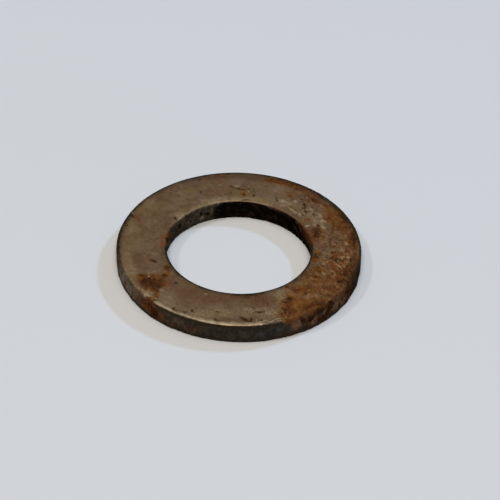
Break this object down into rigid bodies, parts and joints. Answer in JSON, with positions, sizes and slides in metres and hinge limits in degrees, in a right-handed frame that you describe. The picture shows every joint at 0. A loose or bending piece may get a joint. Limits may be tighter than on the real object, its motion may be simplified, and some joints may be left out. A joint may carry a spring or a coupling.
{
  "type": "flat washer",
  "caption": "Round flat steel washer that spreads the load of a bolt head or nut, with a plain clearance hole and rolled top edges.",
  "frame": {"origin": "centre of the hole on the underside, the flat face that the washer rests on", "axes": "+Z along the hole's axis, out of the top face, which has the rounded die-roll edges; X and Y lie in the underside"},
  "size_m": [0.044, 0.044, 0.004],
  "materials": {
    "rusty_steel": "brown oxidised hot-rolled steel with rust patches, worn bright on the edges"
  },
  "bodies": {
    "root": {"washer_ring": "rusty_steel"}
  },
  "joints": []
}
